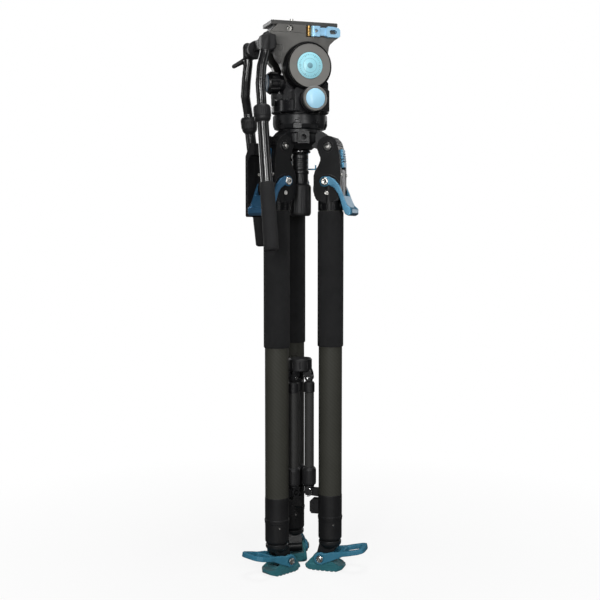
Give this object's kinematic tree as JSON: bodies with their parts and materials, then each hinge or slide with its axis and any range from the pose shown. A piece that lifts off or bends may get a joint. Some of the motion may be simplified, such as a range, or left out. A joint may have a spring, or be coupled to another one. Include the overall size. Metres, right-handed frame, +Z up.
{
  "type": "video tripod with fluid head",
  "caption": "Folded three-leg video tripod: fluid head with drag dial, two hanging pan bars, sliding camera plate, telescoping legs, mid-level spreader and hinged rubber feet.",
  "frame": {"origin": "on the ground, on the pan axis, under the folded tripod", "axes": "+X towards the front of the head, +Y to the head's right side away from the drag dial, +Z up"},
  "size_m": [0.2203, 0.2399, 0.9365],
  "materials": {
    "black_metal": "satin powder coat",
    "black_gloss": "glossy moulded plastic",
    "black_matte": "matte moulded plastic",
    "head_grey": "satin grey anodised casting",
    "dial_grey": "satin grey face",
    "blue_lever": "blue anodised, satin",
    "light_blue": "light blue anodised, satin",
    "teal_rubber": "matte teal rubber",
    "foot_blue": "blue moulded plastic",
    "carbon": "woven carbon fibre, satin lacquer",
    "foam": "closed-cell foam",
    "steel": "bright machined",
    "brass": "machined"
  },
  "bodies": {
    "crown": {"crown": "black_metal", "hook": "blue_lever"},
    "washer": {"clamp_washer": "steel"},
    "ball": {"half_ball": "head_grey"},
    "tie_down": {"tie_down_handle": "black_matte"},
    "pan": {"pan_housing": "black_gloss"},
    "pan_knob": {"pan_drag_knob": "dial_grey"},
    "counterbalance": {"counterbalance_knob": "black_matte"},
    "pan_lock": {"pan_lock": "black_matte"},
    "tilt": {"tilt_body": "head_grey", "plate_spring": "brass"},
    "dial": {"tilt_drag_dial": "dial_grey"},
    "plate_lever": {"plate_lever": "light_blue"},
    "plate": {"camera_plate": "black_metal"},
    "camera_screw": {"camera_screw": "steel"},
    "bar_near": {"bar_near_upper": "black_gloss"},
    "bar_near_tube": {"bar_near_lower": "black_gloss", "bar_near_grip": "foam"},
    "bar_far": {"bar_far_upper": "black_gloss"},
    "bar_far_tube": {"bar_far_lower": "black_gloss", "bar_far_grip": "foam"},
    "leg_a": {"leg_a_housing": "black_metal", "leg_a_hardware": "steel", "leg_a_upper": "carbon", "leg_a_sleeve": "foam"},
    "lever_a": {"leg_a_lever": "blue_lever"},
    "lock_a": {"leg_a_lock_tab": "blue_lever"},
    "middle_a": {"leg_a_middle": "black_matte"},
    "lower_a": {"leg_a_lower": "black_matte"},
    "foot_a": {"leg_a_foot": "teal_rubber"},
    "foot_lever_a": {"leg_a_foot_lever": "foot_blue"},
    "leg_b": {"leg_b_housing": "black_metal", "leg_b_hardware": "steel", "leg_b_upper": "carbon", "leg_b_sleeve": "foam"},
    "lever_b": {"leg_b_lever": "blue_lever"},
    "lock_b": {"leg_b_lock_tab": "blue_lever"},
    "middle_b": {"leg_b_middle": "black_matte"},
    "lower_b": {"leg_b_lower": "black_matte"},
    "foot_b": {"leg_b_foot": "teal_rubber"},
    "foot_lever_b": {"leg_b_foot_lever": "foot_blue"},
    "leg_c": {"leg_c_housing": "black_metal", "leg_c_hardware": "steel", "leg_c_upper": "carbon", "leg_c_sleeve": "foam", "carry_handle": "black_matte"},
    "lever_c": {"leg_c_lever": "blue_lever"},
    "lock_c": {"leg_c_lock_tab": "blue_lever"},
    "middle_c": {"leg_c_middle": "black_matte"},
    "lower_c": {"leg_c_lower": "black_matte"},
    "foot_c": {"leg_c_foot": "teal_rubber"},
    "foot_lever_c": {"leg_c_foot_lever": "foot_blue"},
    "hub": {"spreader_hub": "black_matte"},
    "arm_a_outer": {"arm_a_outer": "carbon"},
    "arm_a_inner": {"arm_a_inner": "black_matte"},
    "arm_b_outer": {"arm_b_outer": "carbon"},
    "arm_b_inner": {"arm_b_inner": "black_matte"},
    "arm_c_outer": {"arm_c_outer": "carbon"},
    "arm_c_inner": {"arm_c_inner": "black_matte"}
  },
  "joints": [
    {"name": "level_side", "type": "hinge", "parent": "crown", "child": "washer", "pos_m": [0, 0, 0.78], "axis": [1, 0, 0], "range_deg": [-2.5, 2.5]},
    {"name": "level_front", "type": "hinge", "parent": "washer", "child": "ball", "pos_m": [0, 0, 0.78], "axis": [0, 1, 0], "range_deg": [-2.5, 2.5]},
    {"name": "tie_down_turn", "type": "hinge", "parent": "ball", "child": "tie_down", "pos_m": [0, 0, 0.69], "axis": [0, 0, 1], "continuous": true},
    {"name": "pan_turn", "type": "hinge", "parent": "ball", "child": "pan", "pos_m": [0, 0, 0.79], "axis": [0, 0, 1], "continuous": true},
    {"name": "pan_drag_turn", "type": "hinge", "parent": "pan", "child": "pan_knob", "pos_m": [0.003, -0.06, 0.7975], "axis": [0, 1, 0], "continuous": true},
    {"name": "counterbalance_turn", "type": "hinge", "parent": "pan", "child": "counterbalance", "pos_m": [-0.045, 0, 0.829], "axis": [1, 0, 0], "continuous": true},
    {"name": "pan_lock_turn", "type": "hinge", "parent": "pan", "child": "pan_lock", "pos_m": [-0.047, -0.012, 0.8052], "axis": [1, 0, 0], "range_deg": [-35, 35]},
    {"name": "tilt_turn", "type": "hinge", "parent": "pan", "child": "tilt", "pos_m": [0, 0, 0.853], "axis": [0, -1, 0], "range_deg": [-50, 3]},
    {"name": "tilt_drag_turn", "type": "hinge", "parent": "tilt", "child": "dial", "pos_m": [0, -0.04, 0.853], "axis": [0, 1, 0], "continuous": true},
    {"name": "plate_lever_swing", "type": "hinge", "parent": "tilt", "child": "plate_lever", "pos_m": [0.014, -0.0295, 0.913], "axis": [0, 0, 1], "range_deg": [-50, 0]},
    {"name": "plate_slide", "type": "slide", "parent": "tilt", "child": "plate", "axis": [1, 0, 0], "range_m": [-0.02, 0.02]},
    {"name": "camera_screw_turn", "type": "hinge", "parent": "plate", "child": "camera_screw", "pos_m": [-0.015, 0, 0.925], "axis": [0, 0, 1], "continuous": true},
    {"name": "bar_near_swing", "type": "hinge", "parent": "tilt", "child": "bar_near", "pos_m": [-0.068, 0, 0.888], "axis": [0, 1, 0], "range_deg": [0, 110]},
    {"name": "bar_near_extend", "type": "slide", "parent": "bar_near", "child": "bar_near_tube", "axis": [0.0155, -0.173, -0.9848], "range_m": [0, 0.11]},
    {"name": "bar_far_swing", "type": "hinge", "parent": "tilt", "child": "bar_far", "pos_m": [-0.068, 0, 0.888], "axis": [0, 1, 0], "range_deg": [0, 110]},
    {"name": "bar_far_extend", "type": "slide", "parent": "bar_far", "child": "bar_far_tube", "axis": [0.1491, 0.131, -0.9801], "range_m": [0, 0.11]},
    {"name": "leg_a_swing", "type": "hinge", "parent": "crown", "child": "leg_a", "pos_m": [0.0445, -0.03059, 0.722], "axis": [-0.5664, -0.8241, 0], "range_deg": [0, 20]},
    {"name": "lever_a_swing", "type": "hinge", "parent": "leg_a", "child": "lever_a", "pos_m": [0.04121, -0.02832, 0.664], "axis": [-0.5664, -0.8241, 0], "range_deg": [0, 35]},
    {"name": "lock_a_swing", "type": "hinge", "parent": "leg_a", "child": "lock_a", "pos_m": [0.05917, -0.04067, 0.691], "axis": [0.5664, 0.8241, 0], "range_deg": [0, 18]},
    {"name": "middle_a_slide", "type": "slide", "parent": "leg_a", "child": "middle_a", "axis": [0, 0, -1], "range_m": [0, 0.36]},
    {"name": "lower_a_slide", "type": "slide", "parent": "middle_a", "child": "lower_a", "axis": [0, 0, -1], "range_m": [0, 0.36]},
    {"name": "foot_a_swing", "type": "hinge", "parent": "lower_a", "child": "foot_a", "pos_m": [0.03461, -0.02379, 0.022], "axis": [-0.5664, -0.8241, 0], "range_deg": [-12, 12]},
    {"name": "foot_lever_a_swing", "type": "hinge", "parent": "lower_a", "child": "foot_lever_a", "pos_m": [0.03461, -0.02379, 0.022], "axis": [-0.5664, -0.8241, 0], "range_deg": [-12, 10]},
    {"name": "leg_b_swing", "type": "hinge", "parent": "crown", "child": "leg_b", "pos_m": [0.00424, 0.05383, 0.722], "axis": [0.9969, -0.0785, 0], "range_deg": [0, 20.2]},
    {"name": "lever_b_swing", "type": "hinge", "parent": "leg_b", "child": "lever_b", "pos_m": [0.00392, 0.04985, 0.664], "axis": [0.9969, -0.0785, 0], "range_deg": [0, 35]},
    {"name": "lock_b_swing", "type": "hinge", "parent": "leg_b", "child": "lock_b", "pos_m": [0.00563, 0.07158, 0.691], "axis": [-0.9969, 0.0785, 0], "range_deg": [0, 18]},
    {"name": "middle_b_slide", "type": "slide", "parent": "leg_b", "child": "middle_b", "axis": [0, 0, -1], "range_m": [0, 0.36]},
    {"name": "lower_b_slide", "type": "slide", "parent": "middle_b", "child": "lower_b", "axis": [0, 0, -1], "range_m": [0, 0.36]},
    {"name": "foot_b_swing", "type": "hinge", "parent": "lower_b", "child": "foot_b", "pos_m": [0.0033, 0.04187, 0.022], "axis": [0.9969, -0.0785, 0], "range_deg": [-12, 12]},
    {"name": "foot_lever_b_swing", "type": "hinge", "parent": "lower_b", "child": "foot_lever_b", "pos_m": [0.0033, 0.04187, 0.022], "axis": [0.9969, -0.0785, 0], "range_deg": [-12, 10]},
    {"name": "leg_c_swing", "type": "hinge", "parent": "crown", "child": "leg_c", "pos_m": [-0.04874, -0.02325, 0.722], "axis": [-0.4305, 0.9026, 0], "range_deg": [0, 20.2]},
    {"name": "lever_c_swing", "type": "hinge", "parent": "leg_c", "child": "lever_c", "pos_m": [-0.04513, -0.02153, 0.664], "axis": [-0.4305, 0.9026, 0], "range_deg": [0, 35]},
    {"name": "lock_c_swing", "type": "hinge", "parent": "leg_c", "child": "lock_c", "pos_m": [-0.06481, -0.03091, 0.691], "axis": [0.4305, -0.9026, 0], "range_deg": [0, 18]},
    {"name": "middle_c_slide", "type": "slide", "parent": "leg_c", "child": "middle_c", "axis": [0, 0, -1], "range_m": [0, 0.36]},
    {"name": "lower_c_slide", "type": "slide", "parent": "middle_c", "child": "lower_c", "axis": [0, 0, -1], "range_m": [0, 0.36]},
    {"name": "foot_c_swing", "type": "hinge", "parent": "lower_c", "child": "foot_c", "pos_m": [-0.03791, -0.01808, 0.022], "axis": [-0.4305, 0.9026, 0], "range_deg": [-12, 12]},
    {"name": "foot_lever_c_swing", "type": "hinge", "parent": "lower_c", "child": "foot_lever_c", "pos_m": [-0.03791, -0.01808, 0.022], "axis": [-0.4305, 0.9026, 0], "range_deg": [-12, 10]},
    {"name": "arm_a_bracket", "type": "hinge", "parent": "leg_a", "child": "arm_a_inner", "pos_m": [0.0136, -0.00935, 0.133], "axis": [-0.5664, -0.8241, 0], "range_deg": [0, 35.51]},
    {"name": "arm_a_extend", "type": "slide", "parent": "arm_a_inner", "child": "arm_a_outer", "axis": [0, 0, 1], "range_m": [0, 0.0485]},
    {"name": "hub_level", "type": "hinge", "parent": "arm_a_outer", "child": "hub", "pos_m": [0.0136, -0.00935, 0.331], "axis": [-0.5664, -0.8241, 0], "range_deg": [-55.51, 0]},
    {"name": "arm_b_hub", "type": "hinge", "parent": "hub", "child": "arm_b_outer", "pos_m": [0.00129, 0.01645, 0.331], "axis": [0.9969, -0.0785, 0], "range_deg": [0, 55.51]},
    {"name": "arm_b_extend", "type": "slide", "parent": "arm_b_outer", "child": "arm_b_inner", "axis": [0, 0, -1], "range_m": [0, 0.0485]},
    {"name": "arm_c_hub", "type": "hinge", "parent": "hub", "child": "arm_c_outer", "pos_m": [-0.01489, -0.0071, 0.331], "axis": [-0.4305, 0.9026, 0], "range_deg": [0, 55.51]},
    {"name": "arm_c_extend", "type": "slide", "parent": "arm_c_outer", "child": "arm_c_inner", "axis": [0, 0, -1], "range_m": [0, 0.0485]}
  ],
  "couplings": [
    {"joint": "leg_b_swing", "follows": "leg_a_swing", "ratio": 1},
    {"joint": "leg_c_swing", "follows": "leg_a_swing", "ratio": 1},
    {"joint": "arm_a_bracket", "follows": "leg_a_swing", "ratio": 1.7655},
    {"joint": "arm_a_extend", "follows": "leg_a_swing", "m_per_rad": 0.13785},
    {"joint": "hub_level", "follows": "leg_a_swing", "ratio": -2.7655},
    {"joint": "arm_b_hub", "follows": "leg_a_swing", "ratio": 2.7655},
    {"joint": "arm_b_extend", "follows": "leg_a_swing", "m_per_rad": 0.13785},
    {"joint": "arm_c_hub", "follows": "leg_a_swing", "ratio": 2.7655},
    {"joint": "arm_c_extend", "follows": "leg_a_swing", "m_per_rad": 0.13785}
  ]
}
